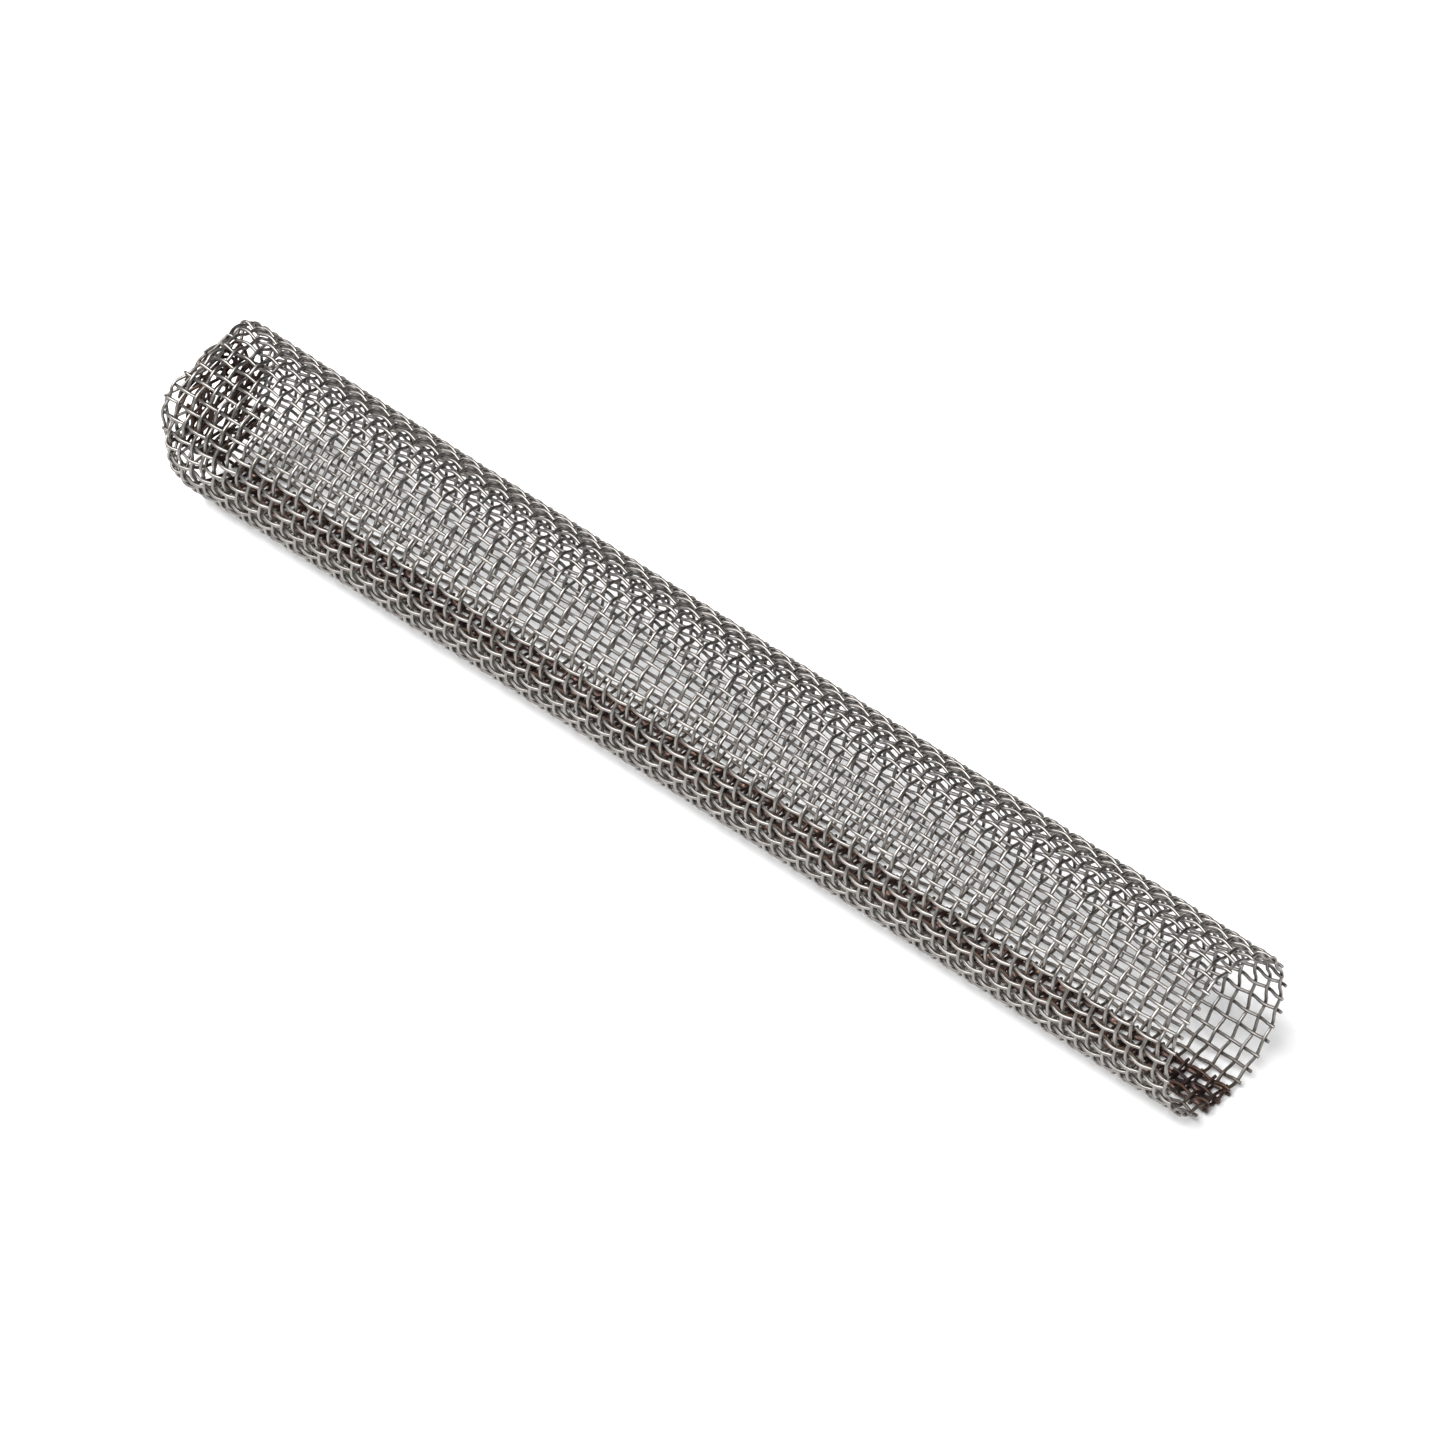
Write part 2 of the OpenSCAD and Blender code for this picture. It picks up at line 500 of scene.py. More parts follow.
def crimp(phase: Array, number: int, layer: Layer) -> tuple[Array, Array]:
    """The wave that weaving leaves in a wire.

    Args:
        phase: Place along the wire, counted in crossings.
        number: The wire's own number, which sets where it starts.
        layer: The family of wires.

    Returns:
        The lift in wire radii, and the closeness to a crossing from 0 to 1.
    """
    wave = np.cos(math.pi * phase)
    rounded = wave * (1.12 - 0.12 * wave ** 2)
    sign = layer.value * (-1) ** (number % 2)
    return sign * rounded, np.abs(wave)


# --------------------------------------------------------------------------- strands of wire


@dataclass
class Strand:
    """One stretch of round wire.

    Attributes:
        path: Middle line, one row a ring.
        facing: Outward direction of the cloth at each ring.
        close: Closeness to a crossing at each ring, from 0 to 1.
        lift: Side of the cloth that the wire is on at each ring, from -1 to 1.
        tint: Heat tint, stain and painted shade at each ring, from 0 to 1.
        number: A number of its own, from 0 to 1.
    """

    path: Array
    facing: Array
    close: Array
    lift: Array
    tint: Array
    number: float


@dataclass
class Trail:
    """Where one stretch of wire goes on the cloth.

    Attributes:
        run: Distance along the cloth from the mouth at each ring.
        angle: Angle round the tube at each ring.
        flap: Number of the flap that it belongs to past the rim.
        lapped: Whether it steps down into the lap or lies in it.
    """

    run: Array
    angle: Array
    flap: int
    lapped: bool = False


@dataclass
class Bundle:
    """Strands that make one piece."""

    wire_d: float
    sides: int = 8
    strands: list[Strand] = field(default_factory=list)

    def mesh(self, name: str) -> bpy.types.Mesh:
        """Sweeps every strand and joins them.

        Args:
            name: Name of the mesh.

        Returns:
            A mesh of closed round wires with their attributes and their bake map.
        """
        counts = [len(strand.path) for strand in self.strands]
        starts = np.concatenate([[0], np.cumsum(counts)[:-1]]) * self.sides
        rings = [self.ring(strand) for strand in self.strands]
        points = np.concatenate([ring.reshape(-1, 3) for ring, _ in rings])
        lay = np.concatenate([spots.reshape(-1, 3) for _, spots in rings])
        crossing_shade = np.concatenate([self.crossing_shade(strand) for strand in self.strands])
        tint = np.concatenate([np.repeat(strand.tint, self.sides) for strand in self.strands])
        own = np.concatenate([np.full(n * self.sides, s.number) for n, s in zip(counts, self.strands)])
        quads = np.concatenate([self.walls(start, n) for start, n in zip(starts, counts)])
        caps = np.concatenate([self.ends(start, n) for start, n in zip(starts, counts)])
        mesh = bpy.data.meshes.new(name)
        build_faces(mesh, points, quads, caps)
        set_attribute(mesh, "lay", lay, "FLOAT_VECTOR")
        set_attribute(mesh, "crossing_shade", crossing_shade)
        set_attribute(mesh, "tint", tint)
        set_attribute(mesh, "own", own)
        self.lay_out(mesh, counts, lay)
        mesh.shade_smooth()
        mesh.set_sharp_from_angle(angle=math.radians(60))
        return mesh

    def ring(self, strand: Strand) -> tuple[Array, Array]:
        """Returns a strand's surface points, and the same points with the wire laid out straight."""
        ahead = unit(np.gradient(strand.path, axis=0))
        across = unit(np.cross(ahead, strand.facing))
        out = np.cross(across, ahead)
        turn = np.arange(self.sides) / self.sides * 2 * math.pi
        radius = self.wire_d / 2
        circle = (
            out[:, None, :] * np.cos(turn)[None, :, None]
            + across[:, None, :] * np.sin(turn)[None, :, None]
        )
        steps = np.linalg.norm(np.diff(strand.path, axis=0), axis=1)
        run = np.concatenate([[0.0], np.cumsum(steps)])
        straight = np.zeros((len(run), self.sides, 3))
        straight[:, :, 0] = run[:, None] + strand.number * 0.5
        straight[:, :, 1] = np.cos(turn)[None, :] * radius
        straight[:, :, 2] = np.sin(turn)[None, :] * radius
        return strand.path[:, None, :] + radius * circle, straight

    def crossing_shade(self, strand: Strand) -> Array:
        """Returns the painted shade at each point: most where one wire presses on another, on the side
        facing it.
        """
        turn = np.arange(self.sides) / self.sides * 2 * math.pi
        inner = 0.5 - 0.5 * np.sign(strand.lift)[:, None] * np.cos(turn)[None, :]
        return (strand.close[:, None] ** 3 * inner).reshape(-1)

    def walls(self, start: int, count: int) -> Array:
        """Returns the four-sided faces along one strand."""
        ring = np.arange(count - 1)[:, None] * self.sides + start
        side = np.arange(self.sides)[None, :]
        following = (side + 1) % self.sides
        quads = np.stack(
            [ring + side, ring + following, ring + self.sides + following, ring + self.sides + side],
            axis=2,
        )
        return quads.reshape(-1, 4)

    def ends(self, start: int, count: int) -> Array:
        """Returns the two cut faces of one strand."""
        side = np.arange(self.sides)
        last = start + (count - 1) * self.sides
        return np.stack([start + side[::-1], last + side])

    def lay_out(self, mesh: bpy.types.Mesh, counts: list[int], lay: Array) -> None:
        """Adds the bake map: every wire laid straight and cut into rows, with its ends beside it.

        Args:
            mesh: The finished mesh.
            counts: Rings in each strand.
            lay: Points with each wire laid out straight.
        """
        lengths = []
        begun = 0.0
        for number, count in enumerate(counts):
            first = sum(counts[:number]) * self.sides
            run = lay[first : first + count * self.sides : self.sides, 0]
            run = run - run[0] + begun
            lengths.append(run)
            begun = run[-1]
        girth = math.pi * self.wire_d * ROW_ROOM
        side = math.sqrt(begun * girth) * 1.02
        rows = max(1, math.ceil(begun / side) + 1)
        uv = []
        for run in lengths:
            row = np.floor(run[:-1] / side)
            left, right = run[:-1] / side - row, run[1:] / side - row
            uv.append(self.wall_map(left, right, row, rows))
        caps = [self.cap_map(number, len(counts) * 2, rows) for number in range(len(counts) * 2)]
        layer = mesh.uv_layers.new(name=BAKE_MAP)
        flat = np.concatenate([np.concatenate(uv), np.concatenate(caps)])
        layer.data.foreach_set("uv", flat.astype(np.float32).ravel())

    def wall_map(self, left: Array, right: Array, row: Array, rows: int) -> Array:
        """Returns the map corners of one strand's walls, row by row."""
        side = np.arange(self.sides)[None, :]
        low = (row[:, None] + 0.08 + 0.84 * side / self.sides) / (rows + 1)
        high = (row[:, None] + 0.08 + 0.84 * (side + 1) / self.sides) / (rows + 1)
        ends = 0.004 + 0.97 * np.stack([left, right])
        near = np.broadcast_to(ends[0][:, None], low.shape)
        far = np.broadcast_to(ends[1][:, None], low.shape)
        corners = [(near, low), (near, high), (far, high), (far, low)]
        return np.stack([np.stack(pair, axis=2) for pair in corners], axis=2).reshape(-1, 2)

    def cap_map(self, number: int, total: int, rows: int) -> Array:
        """Returns the map corners of one cut face, in the spare row at the top."""
        turn = np.arange(self.sides) / self.sides * 2 * math.pi
        cell = 1.0 / total
        reach = min(cell, 0.8 / (rows + 1)) * 0.4
        middle = ((number + 0.5) * cell, (rows + 0.5) / (rows + 1))
        return np.stack([middle[0] + reach * np.cos(turn), middle[1] + reach * np.sin(turn)], axis=1)


def build_faces(mesh: bpy.types.Mesh, points: Array, quads: Array, caps: Array) -> None:
    """Fills a mesh with points, four-sided faces and many-sided cut faces.

    Args:
        mesh: An empty mesh.
        points: One row a point.
        quads: Four-sided faces.
        caps: Cut faces, all with the same number of corners.
    """
    corners = np.concatenate([quads.ravel(), caps.ravel()])
    sizes = np.concatenate([np.full(len(quads), 4), np.full(len(caps), caps.shape[1])])
    mesh.vertices.add(len(points))
    mesh.vertices.foreach_set("co", points.astype(np.float32).ravel())
    mesh.loops.add(len(corners))
    mesh.loops.foreach_set("vertex_index", corners.astype(np.int32))
    mesh.polygons.add(len(sizes))
    starts = np.concatenate([[0], np.cumsum(sizes)[:-1]])
    mesh.polygons.foreach_set("loop_start", starts.astype(np.int32))
    mesh.update(calc_edges=True)
    mesh.validate()


def set_attribute(mesh: bpy.types.Mesh, name: str, values: Array, kind: str = "FLOAT") -> None:
    """Writes one value a point to a named attribute."""
    made = mesh.attributes.new(name, kind, "POINT")
    key = "vector" if kind == "FLOAT_VECTOR" else "value"
    made.data.foreach_set(key, np.asarray(values, np.float32).ravel())


# --------------------------------------------------------------------------- node helpers


@dataclass
class Graph:
    """A node tree with short calls to add and link nodes."""

    tree: bpy.types.NodeTree

    def add(self, kind: str, **settings: object) -> bpy.types.Node:
        """Adds a node and sets its properties."""
        node = self.tree.nodes.new(kind)
        for key, value in settings.items():
            setattr(node, key, value)
        return node

    def feed(self, node: bpy.types.Node, **inputs: object) -> bpy.types.Node:
        """Links or sets a node's inputs by name, with spaces written as underscores."""
        for key, value in inputs.items():
            self.plug(node.inputs[key.replace("_", " ")], value)
        return node

    def plug(self, socket: bpy.types.NodeSocket, value: object) -> None:
        """Links a socket to another, or sets its value."""
        if isinstance(value, bpy.types.NodeSocket):
            self.tree.links.new(value, socket)
        else:
            socket.default_value = value

    def value(self, name: str) -> bpy.types.NodeSocket:
        """Returns the number that the mesh carries under a name."""
        return self.add("ShaderNodeAttribute", attribute_name=name).outputs["Fac"]

    def lay(self) -> bpy.types.NodeSocket:
        """Returns places on the wire as if it were laid out straight."""
        return self.add("ShaderNodeAttribute", attribute_name="lay").outputs["Vector"]

    def math(self, kind: str, first: object, second: object = 0.0) -> bpy.types.NodeSocket:
        """Adds a Math node and returns its result."""
        node = self.add("ShaderNodeMath", operation=kind)
        self.plug(node.inputs[0], first)
        self.plug(node.inputs[1], second)
        return node.outputs[0]

    def stretch(self, vector: object, scale: tuple[float, float, float]) -> bpy.types.NodeSocket:
        """Returns a vector scaled along each axis."""
        node = self.add("ShaderNodeMapping")
        self.plug(node.inputs["Vector"], vector)
        node.inputs["Scale"].default_value = scale
        return node.outputs["Vector"]

    def noise(self, vector: object, scale: float, detail: float = 3.0) -> bpy.types.NodeSocket:
        """Adds a noise texture and returns its factor."""
        node = self.add("ShaderNodeTexNoise")
        self.feed(node, Vector=vector, Scale=scale, Detail=detail)
        return node.outputs["Fac"]

    def remap(
        self, value: object, low: float, high: float, to: tuple[float, float]
    ) -> bpy.types.NodeSocket:
        """Returns a value moved smoothly from one range to another and held inside it."""
        node = self.add("ShaderNodeMapRange", interpolation_type="SMOOTHSTEP")
        self.feed(node, Value=value, From_Min=low, From_Max=high, To_Min=to[0], To_Max=to[1])
        return node.outputs["Result"]

    def mix(self, share: object, first: object, second: object) -> bpy.types.NodeSocket:
        """Returns two colours mixed by a share."""
        node = self.add("ShaderNodeMix", data_type="RGBA", blend_type="MIX")
        self.plug(node.inputs[0], share)
        self.plug(node.inputs[6], first)
        self.plug(node.inputs[7], second)
        return node.outputs[2]


def new_group(
    name: str, inputs: dict[str, object], outputs: dict[str, str]
) -> tuple[Graph, bpy.types.Node, bpy.types.Node]:
    """Starts a shader node group.

    Args:
        name: Name of the group.
        inputs: Each input's name with its first value; a tuple makes a colour.
        outputs: Each output's name with its kind of socket.

    Returns:
        The group's graph, its input node and its output node.
    """
    tree = bpy.data.node_groups.new(name, "ShaderNodeTree")
    for key, value in inputs.items():
        kind = "NodeSocketColor" if isinstance(value, tuple) else "NodeSocketFloat"
        tree.interface.new_socket(key, in_out="INPUT", socket_type=kind).default_value = value
    for key, kind in outputs.items():
        tree.interface.new_socket(key, in_out="OUTPUT", socket_type=kind)
    graph = Graph(tree)
    return graph, graph.add("NodeGroupInput"), graph.add("NodeGroupOutput")


@dataclass(frozen=True)
class SharedEffects:
    """Node groups that more than one finish uses."""

    drawn: bpy.types.NodeTree
    soil: bpy.types.NodeTree
    heat: bpy.types.NodeTree

    @classmethod
    def build(cls) -> "SharedEffects":
        """Builds each group once."""
        return cls(drawn=drawn_marks(), soil=soiling(), heat=heat_tint())


def drawn_marks() -> bpy.types.NodeTree:
    """Fine lines along the wire that the drawing die leaves, with small pits.

    Returns:
        A group with a height, a roughness and a lightness that vary over the wire.
    """
    inputs = {"Lines": 1.0, "Pits": 1.0, "Smoothest": 0.24, "Roughest": 0.46}
    outputs = {"Height": "NodeSocketFloat", "Roughness": "NodeSocketFloat", "Shade": "NodeSocketFloat"}
    graph, source, result = new_group("drawn wire marks", inputs, outputs)
    lay = graph.lay()
    lines = graph.noise(graph.stretch(lay, (0.9, 60.0, 60.0)), 900.0, 4.0)
    pits = graph.noise(graph.stretch(lay, (1.0, 1.0, 1.0)), 9000.0, 2.0)
    patches = graph.noise(graph.stretch(lay, (0.35, 1.0, 1.0)), 1400.0, 3.0)
    drawn = graph.math("MULTIPLY", lines, source.outputs["Lines"])
    pitted = graph.math("MULTIPLY", pits, source.outputs["Pits"])
    height = graph.math("ADD", drawn, graph.math("MULTIPLY", pitted, 0.35))
    spread = graph.add("ShaderNodeMapRange")
    graph.feed(spread, Value=patches, From_Min=0.3, From_Max=0.7)
    graph.feed(spread, To_Min=source.outputs["Smoothest"], To_Max=source.outputs["Roughest"])
    shade = graph.math("ADD", graph.math("MULTIPLY", lines, 0.5), graph.math("MULTIPLY", patches, 0.5))
    graph.feed(result, Height=height, Roughness=spread.outputs["Result"], Shade=shade)
    return graph.tree


def soiling() -> bpy.types.NodeTree:
    """Dull dirt film in random patches, and painted shade where two wires press together.

    Returns:
        A group with a mask of the dirt film and the painted shade.
    """
    graph, source, result = new_group(
        "painted crossing shade and dirt film", {"Crossings": 1.0, "Film": 0.2}, {"Mask": "NodeSocketFloat"}
    )
    lay = graph.lay()
    broken = graph.noise(lay, 2600.0, 4.0)
    # Painted shade: darkest near a crossing, on the side that faces the other wire.
    pressed = graph.math("MULTIPLY", graph.value("crossing_shade"), source.outputs["Crossings"])
    ragged = graph.math("MULTIPLY", pressed, graph.remap(broken, 0.25, 0.6, (0.35, 1.0)))
    film = graph.math("MULTIPLY", graph.remap(broken, 0.45, 0.75, (0.0, 1.0)), source.outputs["Film"])
    mask = graph.add("ShaderNodeMath", operation="MAXIMUM", use_clamp=True)
    graph.plug(mask.inputs[0], ragged)
    graph.plug(mask.inputs[1], film)
    graph.feed(result, Mask=mask.outputs[0])
    return graph.tree


def heat_tint() -> bpy.types.NodeTree:
    """Film and scale that welding and use leave, with painted shade on the folded end and towards the
    bottom: dull grey, then brown, then near black.

    Returns:
        A group with the tinted colour and how strongly it covers the steel.
    """
    outputs = {"Color": "NodeSocketColor", "Amount": "NodeSocketFloat"}
    graph, source, result = new_group("heat tint", {"Strength": 1.0}, outputs)
    waver = graph.noise(graph.lay(), 1100.0, 3.0)
    heat = graph.math("MULTIPLY", graph.value("tint"), graph.remap(waver, 0.2, 0.8, (0.7, 1.15)))
    # One ramp for the seam's heat tint, the fold's stain and the painted shade.
    ramp = graph.add("ShaderNodeValToRGB")
    stops = ramp.color_ramp.elements
    stops[0].position, stops[0].color = 0.0, (0.36, 0.34, 0.32, 1)
    stops[1].position, stops[1].color = 1.0, (0.040, 0.035, 0.038, 1)
    for position, colour in (
        (0.22, (0.15, 0.134, 0.118, 1)),
        (0.42, (0.12, 0.080, 0.060, 1)),
        (0.62, (0.095, 0.055, 0.044, 1)),
        (0.82, (0.060, 0.045, 0.042, 1)),
    ):
        stops.new(position).color = colour
    graph.plug(ramp.inputs["Fac"], heat)
    shown = graph.remap(heat, 0.06, 0.3, (0.0, 1.0))
    amount = graph.math("MULTIPLY", shown, source.outputs["Strength"])
    graph.feed(result, Color=ramp.outputs["Color"], Amount=amount)
    return graph.tree


# --------------------------------------------------------------------------- finishes


@dataclass(frozen=True)
class WireFinish:
    """Satin drawn stainless wire.

    Attributes:
        name: Name of the material.
        steel: Lit colour of the clean metal.
        shadowed: Colour where the metal is dull.
        dirt_and_shade: Colour of the dirt film and of the painted shade at the crossings.
        smoothest: Lowest roughness.
        roughest: Highest roughness.
        lines: Depth of the drawing lines.
        crossing_shade_depth: Strength of the painted shade at the crossings.
        tinted: Strength of the heat tint, the stain and the painted shade.
    """

    name: str
    steel: Colour
    shadowed: Colour
    dirt_and_shade: Colour = (0.075, 0.060, 0.050, 1.0)
    smoothest: float = 0.28
    roughest: float = 0.46
    lines: float = 1.0
    crossing_shade_depth: float = 0.8
    tinted: float = 1.0

    def build(self, effects: SharedEffects) -> bpy.types.Material:
        """Makes the material.

        Args:
            effects: The shared node groups.

        Returns:
            The finished material.
        """
        material = bpy.data.materials.new(self.name)
        material.use_nodes = True
        graph = Graph(material.node_tree)
        shader = material.node_tree.nodes["Principled BSDF"]
        drawn = graph.add("ShaderNodeGroup", node_tree=effects.drawn)
        graph.feed(drawn, Lines=self.lines, Smoothest=self.smoothest, Roughest=self.roughest)
        soil = graph.add("ShaderNodeGroup", node_tree=effects.soil)
        graph.feed(soil, Crossings=self.crossing_shade_depth)
        heat = graph.add("ShaderNodeGroup", node_tree=effects.heat)
        graph.feed(heat, Strength=self.tinted)
        bright = graph.remap(drawn.outputs["Shade"], 0.3, 0.7, (0.0, 1.0))
        metal = graph.mix(bright, self.shadowed, self.steel)
        own = graph.remap(graph.value("own"), 0.0, 1.0, (0.0, 0.22))
        metal = graph.mix(own, metal, self.shadowed)
        # Heat tint at the seam; stain and painted shade on the folded end; painted shade towards the
        # bottom.
        metal = graph.mix(heat.outputs["Amount"], metal, heat.outputs["Color"])
        # The dirt film and the painted shade at the crossings darken the metal.
        colour = graph.mix(soil.outputs["Mask"], metal, self.dirt_and_shade)
        dull = graph.math("MULTIPLY", soil.outputs["Mask"], 0.35)
        scaled = graph.math("MULTIPLY", heat.outputs["Amount"], 0.20)
        rough = graph.math("ADD", graph.math("ADD", drawn.outputs["Roughness"], dull), scaled)
        bump = graph.add("ShaderNodeBump")
        graph.feed(bump, Height=drawn.outputs["Height"], Strength=0.35, Distance=0.004 * MM)
        graph.feed(shader, Base_Color=colour, Roughness=rough, Normal=bump.outputs["Normal"])
        shader.inputs["Metallic"].default_value = 1.0
        return material


@dataclass(frozen=True)
class WeldFinish:
    """Fused steel with a burnt, scaly skin.

    Attributes:
        name: Name of the material.
        scale: Colour of the burnt scale.
        bare: Colour where the scale has flaked off.
    """

    name: str = "burnt weld nugget"
    scale: Colour = (0.050, 0.034, 0.029, 1.0)
    bare: Colour = (0.24, 0.12, 0.08, 1.0)

    def build(self, effects: SharedEffects) -> bpy.types.Material:
        """Makes the material.

        Args:
            effects: The shared node groups.

        Returns:
            The finished material.
        """
        material = bpy.data.materials.new(self.name)
        material.use_nodes = True
        graph = Graph(material.node_tree)
        shader = material.node_tree.nodes["Principled BSDF"]
        heat = graph.add("ShaderNodeGroup", node_tree=effects.heat)
        flakes = graph.noise(graph.lay(), 5200.0, 5.0)
        worn = graph.remap(flakes, 0.52, 0.68, (0.0, 1.0))
        skin = graph.mix(worn, self.scale, self.bare)
        tinted = graph.math("MULTIPLY", heat.outputs["Amount"], 0.4)
        colour = graph.mix(tinted, skin, heat.outputs["Color"])
        rough = graph.remap(flakes, 0.3, 0.7, (0.62, 0.30))
        bump = graph.add("ShaderNodeBump")
        graph.feed(bump, Height=flakes, Strength=0.8, Distance=0.02 * MM)
        graph.feed(shader, Base_Color=colour, Roughness=rough, Normal=bump.outputs["Normal"])
        shader.inputs["Metallic"].default_value = 0.85
        return material


@dataclass(frozen=True)
class PaperFinish:
    """Matt white paper for the floor.

    Attributes:
        name: Name of the material.
        fibre_scale: Scale of the noise that stands for the fibres.
        darkest: Colour between the fibres.
        lightest: Colour on the fibres.
    """

    name: str = "white paper"
    fibre_scale: float = 900.0
    darkest: Colour = (0.86, 0.86, 0.865, 1.0)
    lightest: Colour = (0.90, 0.90, 0.905, 1.0)

    def build(self) -> bpy.types.Material:
        """Makes the material."""
        material = bpy.data.materials.new(self.name)
        material.use_nodes = True
        graph = Graph(material.node_tree)
        shader = material.node_tree.nodes["Principled BSDF"]
        place = graph.add("ShaderNodeTexCoord").outputs["Object"]
        fibres = graph.noise(place, self.fibre_scale, 4.0)
        tone = graph.mix(fibres, self.darkest, self.lightest)
        bump = graph.add("ShaderNodeBump")
        graph.feed(bump, Height=fibres, Strength=0.2, Distance=0.02 * MM)
        graph.feed(shader, Base_Color=tone, Normal=bump.outputs["Normal"])
        shader.inputs["Roughness"].default_value = 0.9
        return material


# --------------------------------------------------------------------------- sub-assemblies


@dataclass
class SubAssembly:
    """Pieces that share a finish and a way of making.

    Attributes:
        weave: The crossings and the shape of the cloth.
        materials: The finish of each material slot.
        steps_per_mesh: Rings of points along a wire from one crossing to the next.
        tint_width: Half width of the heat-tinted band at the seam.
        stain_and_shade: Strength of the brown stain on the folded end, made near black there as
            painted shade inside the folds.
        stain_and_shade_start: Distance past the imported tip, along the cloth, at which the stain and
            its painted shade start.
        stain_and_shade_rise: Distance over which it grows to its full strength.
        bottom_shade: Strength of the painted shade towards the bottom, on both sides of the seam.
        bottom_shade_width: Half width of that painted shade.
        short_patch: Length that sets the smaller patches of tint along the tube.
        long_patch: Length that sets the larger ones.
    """

    weave: Weave
    materials: dict[Slot, bpy.types.Material]
    steps_per_mesh: int = 8
    tint_width: float = 2.1 * MM
    stain_and_shade: float = 0.84
    stain_and_shade_start: float = 0.5 * MM
    stain_and_shade_rise: float = 2.4 * MM
    bottom_shade: float = 0.30
    bottom_shade_width: float = 7.0 * MM
    short_patch: float = 3.1 * MM
    long_patch: float = 7.7 * MM

    def tint(self, run: Array, angle: Array) -> Array:
        """Heat tint near the welded seam, brown stain with painted shade on the folded end, and
        painted shade towards the bottom.

        Args:
            run: Distances along the cloth.
            angle: Angles round the tube.

        Returns:
            The tint at each place, from 0 to 1.
        """
        size = self.weave.sizes
        seam = (size.lapped_wires / 2 - size.edge_back) * size.warp_step
        away = (angle - seam + math.pi) % (2 * math.pi) - math.pi
        gap = np.abs(away) * size.mean_r
        patchy = 0.86 + 0.14 * np.sin(run / self.short_patch) * np.sin(run / self.long_patch + 1.0)
        seamed = np.exp(-((gap / self.tint_width) ** 4)) * patchy * 0.9
        # Brown stain past the rim, made darker to stand in as painted shade inside the folded end.
        over_rim = run - size.mouth_x + size.end_x
        stained_and_shaded = smooth_step((over_rim - self.stain_and_shade_start) / self.stain_and_shade_rise)
        folded = stained_and_shaded * self.stain_and_shade * (0.6 + 0.4 * patchy)
        # Painted shade: the wires darken towards the bottom of the tube, on both sides of the seam.
        bottom_shaded = np.exp(-((gap / self.bottom_shade_width) ** 4)) * self.bottom_shade * (0.7 + 0.3 * patchy)
        return np.maximum(np.maximum(seamed, folded), bottom_shaded)

    def strand(self, trail: Trail, lift: Array, close: Array, own: float) -> Strand:
        """Lays one wire on the cloth.

        Args:
            trail: Where the wire goes.
            lift: Lift in wire radii.
            close: Closeness to a crossing.
            own: The wire's own number, from 0 to 1.

        Returns:
            The finished strand.
        """
        spot, out = self.weave.tube.place(trail.run, trail.angle, trail.flap, trail.lapped)
        radius = self.weave.sizes.wire_d / 2
        path = spot + out * (lift * radius)[:, None]
        return Strand(path, out, close, lift, self.tint(trail.run, trail.angle), own)

    def dress(self, bundle: Bundle, name: str, slot: Slot, node: str) -> bpy.types.Object:
        """Makes a piece from its strands and puts it in place of its CAD node.

        Args:
            bundle: The strands.
            name: Name of the piece.
            slot: Its material slot.
            node: The CAD node that it stands for.

        Returns:
            The piece.
        """
        piece = bpy.data.objects.new(name, bundle.mesh(name))
        bpy.context.scene.collection.objects.link(piece)
        piece.data.materials.append(self.materials[slot])
        return settle(piece, node)

    def warp_strand(self, column: int, begin: float, end: float, flap: int) -> Strand:
        """Makes a stretch of one lengthwise wire.

        Args:
            column: Number of the wire.
            begin: Run at its first end.
            end: Run at its last end.
            flap: Number of its flap.

        Returns:
            The strand.
        """
        weave = self.weave
        count = max(4, round((end - begin) / weave.sizes.weft_pitch * self.steps_per_mesh)) + 1
        run = np.linspace(begin, end, count)
        angle = weave.warp_angle(column, run)
        lift, close = weave.warp_lift(column, run)
        own = float(np.random.RandomState(500 + column).rand())
        return self.strand(Trail(run, angle, flap, weave.sizes.is_lapped(column)), lift, close, own)

    def weft_strand(
        self, row: int, begin: float, end: float, flap: int, lapped: bool = False
    ) -> Strand:
        """Makes a stretch of one cross wire.

        Args:
            row: Number of the wire.
            begin: Angle at its first end.
            end: Angle at its last end.
            flap: Number of its flap.
            lapped: Whether it steps down into the lap or lies in it.

        Returns:
            The strand.
        """
        weave = self.weave
        count = max(4, round((end - begin) / weave.sizes.warp_step * self.steps_per_mesh)) + 1
        angle = np.linspace(begin, end, count)
        run = weave.weft_run(row, angle)
        lift, close = weave.weft_lift(row, angle)
        own = float(np.random.RandomState(900 + row).rand())
        return self.strand(Trail(run, angle, flap, lapped), lift, close, own)


def settle(piece: bpy.types.Object, node: str) -> bpy.types.Object:
    """Rides a piece on the body and puts it in place of a CAD node."""
    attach(piece, BODY)
    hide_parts(node)
    LOG.info("%s: %d faces, for node %s", piece.name, len(piece.data.polygons), node)
    return piece


class TubeWarp(SubAssembly):
    """The lengthwise wires, from the mouth to the rim.

    Attributes:
        cut_least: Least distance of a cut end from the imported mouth, in millimetres.
        cut_spread: How much further back a cut end may be, in millimetres.
    """

    cut_least: float = 0.06
    cut_spread: float = 0.10

    def build(self) -> list[bpy.types.Object]:
        """Builds one piece for each wire."""
        size, tube = self.weave.sizes, self.weave.tube
        pieces = []
        for column in size.columns:
            seat = column % size.meshes_round
            flap = next(f for f in range(4) if tube.flap_wires(f)[0] <= seat <= tube.flap_wires(f)[1])
            angle = np.array([self.weave.column_angle(seat)])
            draw = np.random.RandomState(200 + column)
            begin = (self.cut_least + self.cut_spread * draw.rand()) * MM
            end = float(tube.bend_start(angle)[0])
            if size.is_lapped(column):
                end -= size.wire_d
            bundle = Bundle(size.wire_d, strands=[self.warp_strand(column, begin, end, flap)])
            node = size.warp_node(column)
            pieces.append(self.dress(bundle, f"crimped_{node}", Slot.WARP, node))
        return pieces


